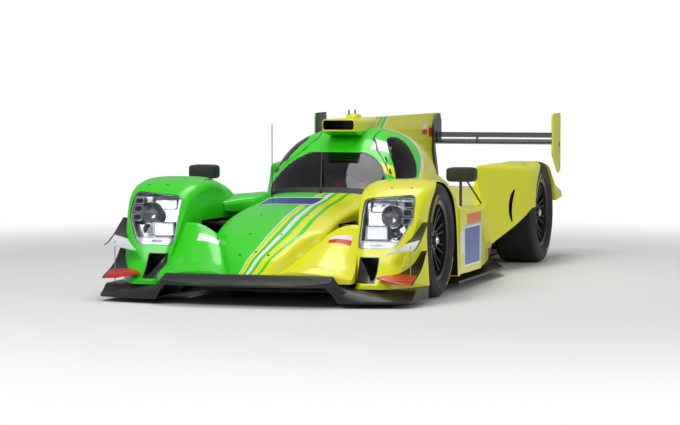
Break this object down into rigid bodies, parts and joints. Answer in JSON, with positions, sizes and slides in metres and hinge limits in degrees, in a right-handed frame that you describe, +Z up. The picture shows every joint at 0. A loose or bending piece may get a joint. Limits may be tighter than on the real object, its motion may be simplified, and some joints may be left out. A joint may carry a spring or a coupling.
{
  "type": "closed sports prototype race car",
  "caption": "Low closed-cockpit sports prototype race car with tall fenders, shark fin, rear wing, opening doors, steered front wheels and turning wheels.",
  "frame": {"origin": "on the ground under the middle of the car's length and width", "axes": "the car faces -Y, +X is its left side, +Z up"},
  "size_m": [1.895, 4.745, 1.098],
  "materials": {
    "carbon": "satin black carbon fibre",
    "green_paint": "bright green gloss paint",
    "yellow_paint": "bright yellow gloss paint",
    "white_paint": "white gloss paint",
    "clear_screen": "clear polycarbonate",
    "dark_glass": "dark tinted polycarbonate",
    "lamp_cover": "clear polycarbonate",
    "lamp_metal": "bright reflectors and lenses",
    "red_lamp": "red lens",
    "engine_metal": "dark cast engine and gearbox block",
    "seat_shell": "black seat shell and padding",
    "matte_black": "matte black",
    "arm_steel": "black painted steel tube",
    "upright_metal": "machined alloy",
    "tyre": "black slick rubber",
    "rim_metal": "black painted magnesium"
  },
  "bodies": {
    "chassis": {"front_splitter": "carbon", "underfloor": "carbon", "diffuser": "carbon", "nose": "green_paint", "front_fenders": "yellow_paint", "monocoque": "carbon", "canopy": "green_paint", "windscreen": "clear_screen", "roof_intake": "yellow_paint", "engine_cover": "green_paint", "shark_fin": "yellow_paint", "sidepods": "yellow_paint", "rear_fenders": "yellow_paint", "side_ducts": "carbon", "rear_wing": "carbon", "wing_end_plates": "yellow_paint", "wing_pylons": "carbon", "mirrors": "carbon", "headlamps": "lamp_metal", "lamp_covers": "lamp_cover", "tail_lamps": "red_lamp", "dive_planes": "white_paint", "powertrain": "engine_metal", "seat": "seat_shell", "dashboard": "matte_black", "front_suspension": "arm_steel", "rear_suspension": "arm_steel", "wiper": "matte_black", "antennas": "matte_black"},
    "door_left": {"door_left": "yellow_paint", "door_glass_left": "dark_glass"},
    "door_right": {"door_right": "green_paint", "door_glass_right": "dark_glass"},
    "knuckle_left": {"knuckle_left": "upright_metal"},
    "knuckle_right": {"knuckle_right": "upright_metal"},
    "steering_wheel": {"steering_wheel": "matte_black"},
    "wheel_front_left": {"tyre_front_left": "tyre", "rim_front_left": "rim_metal"},
    "wheel_front_right": {"tyre_front_right": "tyre", "rim_front_right": "rim_metal"},
    "wheel_rear_left": {"tyre_rear_left": "tyre", "rim_rear_left": "rim_metal"},
    "wheel_rear_right": {"tyre_rear_right": "tyre", "rim_rear_right": "rim_metal"}
  },
  "joints": [
    {"name": "door_left_hinge", "type": "hinge", "parent": "chassis", "child": "door_left", "pos_m": [0.434, -0.5955, 0.627], "axis": [0.3991, -0.6738, -0.6219], "range_deg": [0, 60]},
    {"name": "door_right_hinge", "type": "hinge", "parent": "chassis", "child": "door_right", "pos_m": [-0.434, -0.5955, 0.627], "axis": [0.3991, 0.6738, 0.6219], "range_deg": [0, 60]},
    {"name": "steer_left", "type": "hinge", "parent": "chassis", "child": "knuckle_left", "pos_m": [0.6905, -1.3725, 0.34], "axis": [0, 0, 1], "range_deg": [-15, 15]},
    {"name": "steer_right", "type": "hinge", "parent": "chassis", "child": "knuckle_right", "pos_m": [-0.6905, -1.3725, 0.34], "axis": [0, 0, 1], "range_deg": [-15, 15]},
    {"name": "steering_wheel_turn", "type": "hinge", "parent": "chassis", "child": "steering_wheel", "pos_m": [0, -0.5725, 0.47], "axis": [0, -0.9848, -0.1736], "range_deg": [-135, 135]},
    {"name": "spin_front_left", "type": "hinge", "parent": "knuckle_left", "child": "wheel_front_left", "pos_m": [0.7855, -1.3725, 0.34], "axis": [1, 0, 0], "continuous": true},
    {"name": "spin_front_right", "type": "hinge", "parent": "knuckle_right", "child": "wheel_front_right", "pos_m": [-0.7855, -1.3725, 0.34], "axis": [1, 0, 0], "continuous": true},
    {"name": "spin_rear_left", "type": "hinge", "parent": "chassis", "child": "wheel_rear_left", "pos_m": [0.7805, 1.6325, 0.35], "axis": [1, 0, 0], "continuous": true},
    {"name": "spin_rear_right", "type": "hinge", "parent": "chassis", "child": "wheel_rear_right", "pos_m": [-0.7805, 1.6325, 0.35], "axis": [1, 0, 0], "continuous": true}
  ],
  "couplings": [
    {"joint": "steer_right", "follows": "steer_left", "ratio": 1},
    {"joint": "steering_wheel_turn", "follows": "steer_left", "ratio": 9}
  ]
}
